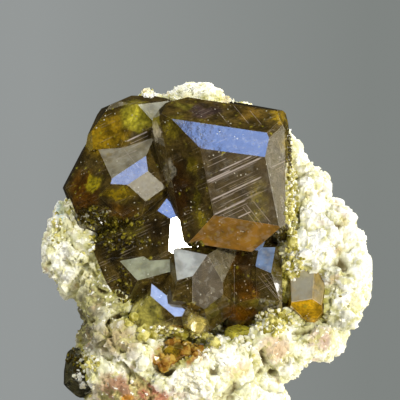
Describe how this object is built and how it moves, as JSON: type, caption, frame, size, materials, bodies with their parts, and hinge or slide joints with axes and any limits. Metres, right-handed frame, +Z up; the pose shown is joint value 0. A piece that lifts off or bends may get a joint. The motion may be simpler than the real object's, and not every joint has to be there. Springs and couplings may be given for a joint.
{
  "type": "garnet in matrix specimen",
  "caption": "Hand-sized mineral specimen: brown-olive garnets with flat faces grown together on a rough cream rock, with small garnets seated around them, for display.",
  "frame": {"origin": "middle of the underside of the specimen's bounding box", "axes": "+Z up, -Y towards the viewer of the crystals, +X to the right as the crystals are seen"},
  "size_m": [0.0414, 0.0276, 0.0448],
  "materials": {
    "rock_cream": "rough broken rock, cream to white",
    "garnet_brown": "glossy, dark olive-brown, clear in places",
    "garnet_orange": "glossy, clear amber",
    "garnet_lime": "glossy, yellow-green",
    "garnet_rust": "broken, orange-brown",
    "garnet_black": "glossy, green-black"
  },
  "bodies": {
    "root": {"matrix": "rock_cream", "garnet_cluster": "garnet_brown", "garnet_amber": "garnet_orange", "garnet_green": "garnet_lime", "garnet_umber": "garnet_rust", "garnet_dark": "garnet_black"}
  },
  "joints": []
}
